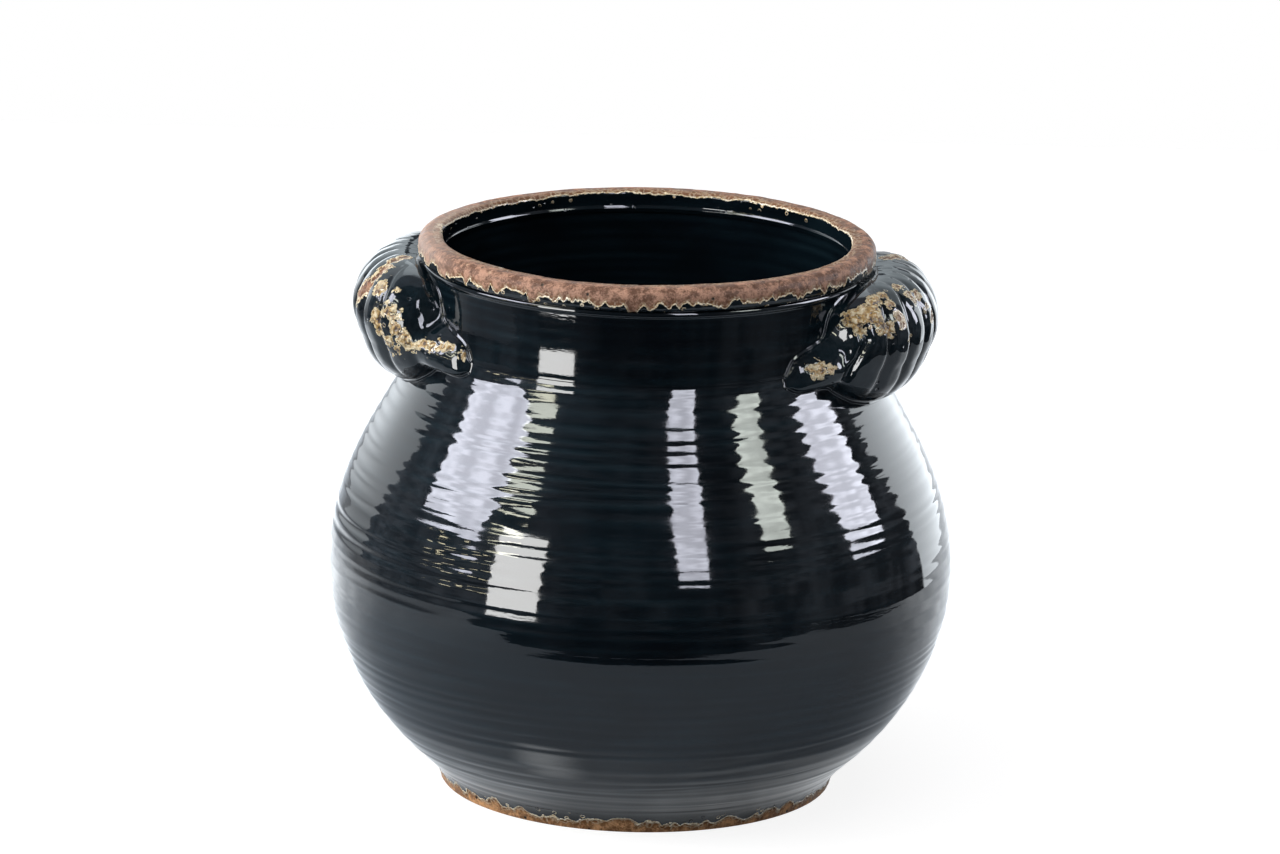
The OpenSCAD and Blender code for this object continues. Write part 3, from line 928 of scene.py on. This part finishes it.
def along(face, middle, line, front):
    """Distance in mm from a line through places on one half of the handle."""
    ends = [on_face(front * share, turn, middle) for share, turn in line]
    nearest = np.full(face.shape[:-1], 1e3)
    for a, b in zip(ends[:-1], ends[1:]):
        u = np.clip(np.sum((face - a) * (b - a), -1) / np.sum((b - a) ** 2), 0, 1)
        nearest = np.minimum(nearest, np.linalg.norm(face - (a + u[..., None] * (b - a)), axis=-1))
    return nearest


def worn_field(face, middle, spots, front):
    """Distance in mm inside the nearest worn spot; it is below nought outside them all."""
    field = np.full(face.shape[:-1], GLAZED)
    for share, turn, radius in spots:
        centre = on_face(front * share, turn, middle)
        field = np.maximum(field, radius - np.linalg.norm(face - centre, axis=-1))
    return field


# The picture was taken a little to the right of square on, from above, with a long lens. The
# angles are in radians, the place in metres and the lens in mm. The lamps face the middle
TURN = math.radians(5.75)
CAMERA_PLACE = (0, -3.0, 0.9425)
LOOK_DOWN = 0.25623
LOOK_ASIDE = 0.00043
LEAN = 0.02303
LENS = 201.8
MIDDLE_Z = 0.13


def stage_mesh(name, points, faces, material):
    mesh = bpy.data.meshes.new(name)
    mesh.from_pydata(points, [], faces)
    mesh.materials.append(material)
    return put_in_scene(name, mesh)


def lay_table():
    """White table top under the pot; to the camera it is as white as the backdrop."""
    material, bench = new_finish("table_white")
    path = bench.node("ShaderNodeLightPath").outputs
    place = bench.place()
    across, back, _ = bench.axes(place)
    distance = bench.measure("LENGTH", place)
    # Painted light on the table, seen only in the gloss: it glows behind and beside the pot, close
    # round the foot, and in a bright patch of light to the front left of the foot
    behind = bench.times(bench.ramp(back, -0.05, 0.25), bench.ramp(across, -0.4, 0.4, 1.5, 0.8))
    beside = bench.add(
        bench.ramp(across, -0.6, -0.15, 0.42, 0.0), bench.ramp(across, 0.1, 0.4, 0.0, 0.13)
    )
    far = bench.most(bench.ramp(distance, 0.35, 0.8, 1.0, 0.2), bench.ramp(across, -0.1, 0.1))
    around = bench.times(bench.add(behind, beside), far)
    under = bench.ramp(distance, 0.088, 0.135, 0.5, 0.0)
    clouds = bench.ramp(bench.noise(place, 14.0, 4.0, 0.6), 0.3, 0.7, 0.72, 1.28)
    off_light_patch = bench.vector("SUBTRACT", place, (-0.04, -0.112, 0.0))
    off_light_patch = bench.measure("LENGTH", bench.vector("MULTIPLY", off_light_patch, (1.0, 2.0, 0.0)))
    light_patch = bench.ramp(off_light_patch, 0.002, 0.03, 1.25, 0.0)
    glowing = bench.add(bench.times(bench.add(around, under), clouds), light_patch)
    glowing = bench.light((0.95, 0.98, 1), bench.times(glowing, path["Is Glossy Ray"]))
    left_end = bench.ramp(across, -0.75, -0.4)
    cool = bench.matt(bench.mix(left_end, (0.09, 0.1, 0.12), (0.47, 0.53, 0.6)))
    plain = bench.shade("ShaderNodeAddShader", cool, glowing)
    dull, glow = bench.matt((0.27, 0.27, 0.27)), bench.light((1, 1, 1), 0.86)
    bright = bench.shade("ShaderNodeAddShader", dull, glow)
    mixed = bench.shade("ShaderNodeMixShader", path["Is Camera Ray"], plain, bright)
    bench.node("ShaderNodeOutputMaterial", {0: mixed})
    spin = Matrix.Rotation(TURN, 3, "Z")
    corners = [(-0.95, -0.31, 0), (0.52, -0.31, 0), (0.52, 1.3, 0), (-0.95, 1.3, 0)]
    points = [spin @ Vector(corner) for corner in corners]
    table = stage_mesh("table_top", points, [(0, 1, 2, 3)], material)


def raise_backdrop():
    """Bright paper wall round the back, which only the gloss of the pot shows."""
    material, bench = new_finish("backdrop_white")
    across, _, up = bench.axes(bench.place())
    level = bench.most(
        bench.ramp(across, -1.25, -0.6, 1.9, 3.5), bench.ramp(across, 0.2, 1.0, 1.0, 3.1)
    )
    aside = bench.ramp(bench.math("ABSOLUTE", across), 0.12, 0.55, 0.2, 1.0)
    shaded = bench.most(bench.ramp(up, -0.05, 0.3, 0.35, 1.0), bench.ramp(across, -0.2, 0.2))
    shine = bench.light((0.89, 0.95, 1), bench.times(level, aside, shaded))
    bench.node("ShaderNodeOutputMaterial", {0: shine})
    steps = np.linspace(0, 1, 33)
    away = 1.3
    low_turn = np.radians(between(-127, 128 - 360, steps))
    top_turn = np.radians(between(-110, 112 - 360, steps))
    height = MIDDLE_Z + away * np.tan(np.radians(20 - 7 * np.sin(np.pi * steps)))
    points = [
        (away * np.sin(TURN + turn), -away * np.cos(TURN + turn), z)
        for turns, heights in ((low_turn, 0 * height - 0.5), (top_turn, height))
        for turn, z in zip(turns, heights)
    ]
    count = len(steps)
    faces = [(i, i + 1, count + i + 1, count + i) for i in range(count - 1)]
    wall = stage_mesh("backdrop", points, faces, material)
    wall.visible_camera = wall.visible_diffuse = wall.visible_shadow = False


def light_world():
    """White behind the pot for the camera, even light on it, and a dim room in its gloss."""
    world = bpy.data.worlds.new("studio")
    bench = clear_bench(world)
    path = bench.node("ShaderNodeLightPath").outputs
    way = bench.node("ShaderNodeTexCoord").outputs["Generated"]
    side = bench.measure("DOT_PRODUCT", way, (math.cos(TURN), math.sin(TURN), 0))
    level = bench.times(
        bench.add(bench.ramp(side, -0.95, -0.3, 0.36, 0.11), bench.ramp(side, 0.4, 0.9, 0.0, 0.15)),
        bench.ramp(bench.axes(way)[2], -0.22, -0.02, 0.4, 1.0),
        bench.ramp(bench.noise(way, 5.0, 4.0), 0.35, 0.7, 0.4, 1.6),
    )
    even = bench.light((0.34, 0.34, 0.355), 1.0, "ShaderNodeBackground")
    room = bench.light((0.85, 0.95, 1.1), level, "ShaderNodeBackground")
    white = bench.light((1, 1, 1), 1.0, "ShaderNodeBackground")
    mixed = bench.shade("ShaderNodeMixShader", path["Is Glossy Ray"], even, room)
    mixed = bench.shade("ShaderNodeMixShader", path["Is Camera Ray"], mixed, white)
    bench.node("ShaderNodeOutputWorld", {0: mixed})
    bpy.context.scene.world = world


def soft_box(
    name, azimuth, elevation, width, height, brightness, tint=(1, 1, 1), away=2.0, mirrored=True
):
    """A flat panel of light. Azimuth is in degrees to the right of the camera, seen from the pot,
    and width and height are the angles that it fills. A mirrored one shows in the gloss only."""
    data = bpy.data.lights.new(name, "AREA")
    data.shape = "RECTANGLE"
    data.size = 2 * away * math.tan(math.radians(width / 2))
    data.size_y = 2 * away * math.tan(math.radians(height / 2))
    data.energy = brightness * math.pi * data.size * data.size_y
    data.color = tint
    lamp = put_in_scene(name, data)
    a, e = TURN + math.radians(azimuth), math.radians(elevation)
    way = Vector((math.sin(a) * math.cos(e), -math.cos(a) * math.cos(e), math.sin(e)))
    lamp.location = Vector((0, 0, MIDDLE_Z)) + way * away
    lamp.rotation_euler = (-way).to_track_quat("-Z", "Y").to_euler()
    lamp.visible_camera = False
    lamp.visible_diffuse = not mirrored
    lamp.visible_glossy = mirrored
    return lamp


def window(name, azimuth, elevation, width, height, brightness, tint):
    """A window that shows in the gloss, a little brighter in some places than in others."""
    lamp = soft_box(name, azimuth, elevation, width, height, brightness, tint)
    bench = clear_bench(lamp.data)
    across = bench.node("ShaderNodeNewGeometry").outputs["Parametric"]
    drawn = bench.vector("MULTIPLY", across, (width / 9, height / 9, 1.0))
    patches = bench.ramp(bench.noise(drawn, 1.0, 1.0), 0.35, 0.68, 0.82, 1.3)
    glow = bench.out("ShaderNodeEmission", {"Strength": patches})
    bench.node("ShaderNodeOutputLight", {0: glow})


def set_lights():
    """Windows, blinds and lamps of the room, and two lamps for the matt clay."""
    lilac, white, green, warm = (0.86, 0.88, 1.0), (1, 1, 0.99), (0.93, 1.0, 0.93), (1.0, 0.9, 0.6)
    cool = (0.85, 0.95, 1.0)
    window("window_left", -79.5, 31, 29, 28, 14, lilac)
    soft_box("blind_low", -53.5, 21.5, 13, 1.8, 15, (1.0, 0.98, 0.74))
    soft_box("blind_middle", -54.0, 29.5, 13, 2.4, 14, (1.0, 0.99, 0.8))
    soft_box("blind_high", -54.5, 36.0, 13, 4.2, 12, (0.96, 1.0, 0.88))
    soft_box("box_left", -42.8, 7.4, 18.2, 27.2, 14, white, 0.7)
    window("window_middle", 20, 29, 11, 32, 12, lilac)
    window("window_middle_right", 55.5, 33, 10.5, 20, 11, green)
    window("window_right", 94.5, 27.5, 19, 37, 13, lilac)
    for lamp in range(6):
        across, up = -84 + 5.4 * lamp, 9.0 + 4.0 * math.sin(2.4 * lamp)
        soft_box(f"shelf_lamp_{lamp + 1}", across, up, 2.2 + 1.3 * (lamp % 3), 1.1, 14, warm)
    soft_box("ceiling_back", -150, 60, 60, 36, 0.3, lilac, 1.6)
    soft_box("light_behind_left", -149, 34, 52, 42, 0.95, cool, 1.8)
    soft_box("light_behind_right", 157, 36, 52, 42, 0.75, cool, 1.8)
    soft_box("overhead", 10, 74, 62, 62, 1.2, white, 1.6, mirrored=False)
    soft_box("key", -82, 24, 40, 40, 7.0, white, 1.8, mirrored=False)


def set_camera():
    data = bpy.data.cameras.new("camera")
    data.sensor_width = 36
    data.lens = LENS
    camera = put_in_scene("camera", data)
    spin = Matrix.Rotation(TURN, 4, "Z") @ Matrix.Translation(CAMERA_PLACE)
    aim = Matrix.Rotation(LOOK_ASIDE, 4, "Z") @ Matrix.Rotation(math.pi / 2 - LOOK_DOWN, 4, "X")
    camera.matrix_world = spin @ aim @ Matrix.Rotation(LEAN, 4, "Z")
    data.clip_start, data.clip_end = 0.1, 50
    bpy.context.scene.camera = camera


def settle(obj, slot, *nodes):
    """The piece stands for these nodes of the frame, which are hidden. The slot is not used."""
    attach(obj, "root")
    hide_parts(*nodes)


dark_glaze = make_dark_glaze()
worn_lip = make_worn_glaze(
    "worn_lip", clay_light=(0.47, 0.265, 0.18), clay_dark=(0.13, 0.062, 0.038),
    blotch=(0.17, 0.075, 0.033), gold=(0.4, 0.2, 0.07), edge_dark=(0.5, 0.33, 0.14),
    edge_light=(0.92, 0.82, 0.62), jag=0.45, foam=0.25,
)
foot_clay = make_worn_glaze(
    "foot_clay", clay_light=(0.62, 0.33, 0.15), clay_dark=(0.2, 0.09, 0.035),
    blotch=(0.16, 0.068, 0.022), gold=(0.4, 0.2, 0.07), edge_dark=(0.5, 0.33, 0.15),
    edge_light=(0.92, 0.82, 0.6), jag=0.2, foam=0.3,
)
worn_handle = make_worn_glaze(
    "handle_glaze", clay_light=(0.3, 0.15, 0.095), clay_dark=(0.1, 0.048, 0.03),
    blotch=(0.2, 0.09, 0.04), gold=(0.42, 0.25, 0.07), edge_dark=(0.45, 0.3, 0.12),
    edge_light=(0.85, 0.74, 0.5), jag=0.8, foam=0.75,
)
rings = make_throwing_rings()

settle(pot_body(), "dark_glaze", "pot_body")
settle(neck_collar(), "dark_glaze", "neck_collar")
settle(rim_lip(), "worn_lip", "rim_lip")
settle(foot_ring(), "foot_clay", "foot_ring")
left_wear, right_wear = (LEFT_WORN, LEFT_HOLLOWS), (RIGHT_WORN, RIGHT_HOLLOWS)
settle(
    handle("right_handle", 0.0, right_wear, left_wear, -1, 41),
    "handle_glaze", "right_handle_shell", "right_front_scroll", "right_rear_scroll",
)
settle(
    handle("left_handle", math.pi, left_wear, right_wear, 1, 51),
    "handle_glaze", "left_handle_shell", "left_front_scroll", "left_rear_scroll",
)
lay_table()
raise_backdrop()
light_world()
set_lights()
set_camera()
bpy.context.scene.view_settings.view_transform = "Standard"
